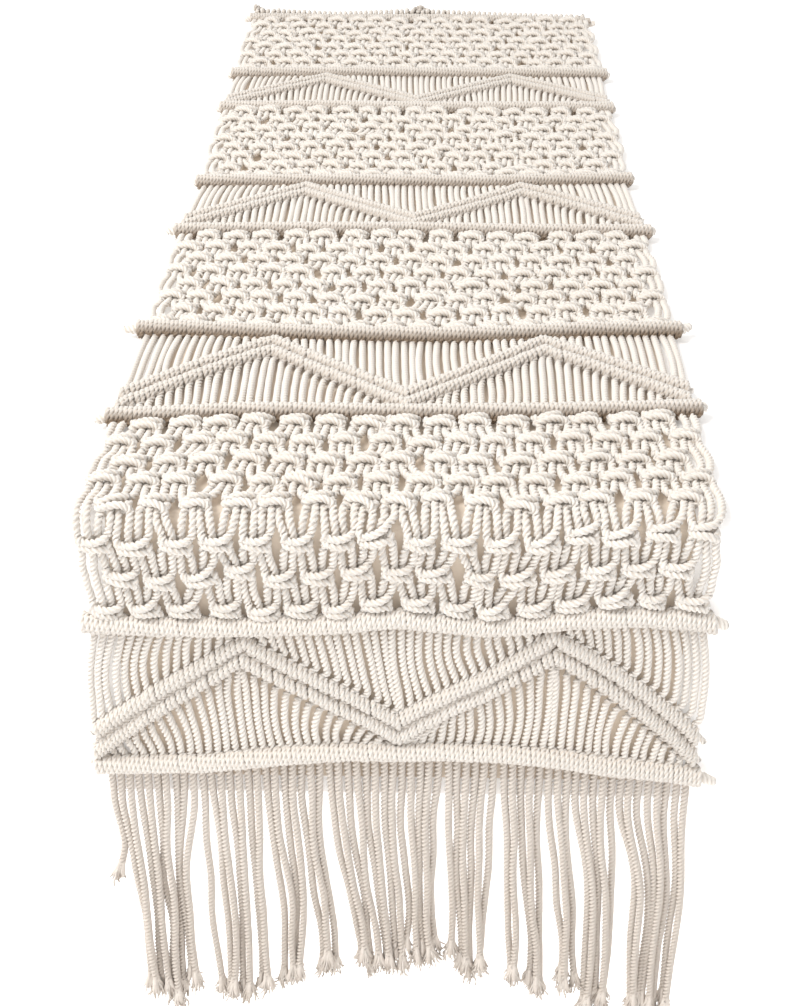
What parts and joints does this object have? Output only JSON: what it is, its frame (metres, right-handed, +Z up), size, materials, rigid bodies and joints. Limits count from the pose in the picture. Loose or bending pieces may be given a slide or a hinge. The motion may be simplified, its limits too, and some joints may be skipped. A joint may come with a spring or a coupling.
{
  "type": "table runner",
  "caption": "Long knotted cord table runner with bands of zigzag ridges and square knots, cross bars and fringed ends that hang over both edges of a table.",
  "frame": {"origin": "on the table top, under the middle of the cross bar nearest the middle of the table", "axes": "+Z up; +Y along the runner towards the far end of the table; X across the runner; the near end hangs at -Y and the far end at +Y"},
  "size_m": [0.333, 0.8678, 0.3513],
  "materials": {
    "holding_cord": "twisted three-strand cotton cord, matt",
    "hitched_cord": "twisted three-strand cotton cord, matt",
    "fringe_cord": "twisted three-strand cotton cord, matt",
    "working_cord": "twisted three-strand cotton cord, matt"
  },
  "bodies": {
    "table_panel": {"band_cords_2": "working_cord", "band_cords_3": "working_cord", "band_cords_4": "working_cord", "bar_hitches_03": "hitched_cord", "bar_hitches_04": "hitched_cord", "bar_hitches_05": "hitched_cord", "bar_hitches_06": "hitched_cord", "bar_hitches_07": "hitched_cord", "bar_hitches_08": "hitched_cord", "bar_hitches_09": "hitched_cord", "holding_cord_03": "holding_cord", "holding_cord_04": "holding_cord", "holding_cord_05": "holding_cord", "holding_cord_06": "holding_cord", "holding_cord_07": "holding_cord", "holding_cord_08": "holding_cord", "holding_cord_09": "holding_cord", "knot_cords_1_top": "working_cord", "knot_cords_2": "working_cord", "knot_cords_3": "working_cord", "knot_cords_4": "working_cord", "square_knots_1_top": "working_cord", "square_knots_2": "working_cord", "square_knots_3": "working_cord", "square_knots_4": "working_cord", "zigzag_cords_2": "holding_cord", "zigzag_cords_3": "holding_cord", "zigzag_cords_4": "holding_cord", "zigzag_hitches_2": "hitched_cord", "zigzag_hitches_3": "hitched_cord", "zigzag_hitches_4": "hitched_cord"},
    "near_drop": {"band_cords_1": "working_cord", "bar_hitches_01": "hitched_cord", "bar_hitches_02": "hitched_cord", "holding_cord_01": "holding_cord", "holding_cord_02": "holding_cord", "knot_cords_1_drop": "working_cord", "square_knots_1_drop": "working_cord", "zigzag_cords_1": "holding_cord", "zigzag_hitches_1": "hitched_cord"},
    "near_fringe": {"near_fringe_cords": "fringe_cord"},
    "far_drop": {"band_cords_5": "working_cord", "bar_hitches_10": "hitched_cord", "holding_cord_10": "holding_cord", "zigzag_cords_5": "holding_cord", "zigzag_hitches_5": "hitched_cord"},
    "far_fringe": {"far_fringe_cords": "fringe_cord"}
  },
  "joints": [
    {"name": "near_drop_lift", "type": "hinge", "parent": "table_panel", "child": "near_drop", "pos_m": [0, -0.434, 0.00172], "axis": [-1, 0, 0], "range_deg": [0, 90]},
    {"name": "near_fringe_swing", "type": "hinge", "parent": "near_drop", "child": "near_fringe", "pos_m": [0, -0.43657, -0.16487], "axis": [-1, 0, 0], "range_deg": [0, 80]},
    {"name": "far_drop_lift", "type": "hinge", "parent": "table_panel", "child": "far_drop", "pos_m": [0, 0.4194, 0.00172], "axis": [1, 0, 0], "range_deg": [0, 90]},
    {"name": "far_fringe_swing", "type": "hinge", "parent": "far_drop", "child": "far_fringe", "pos_m": [0, 0.42197, -0.08497], "axis": [1, 0, 0], "range_deg": [0, 80]}
  ]
}
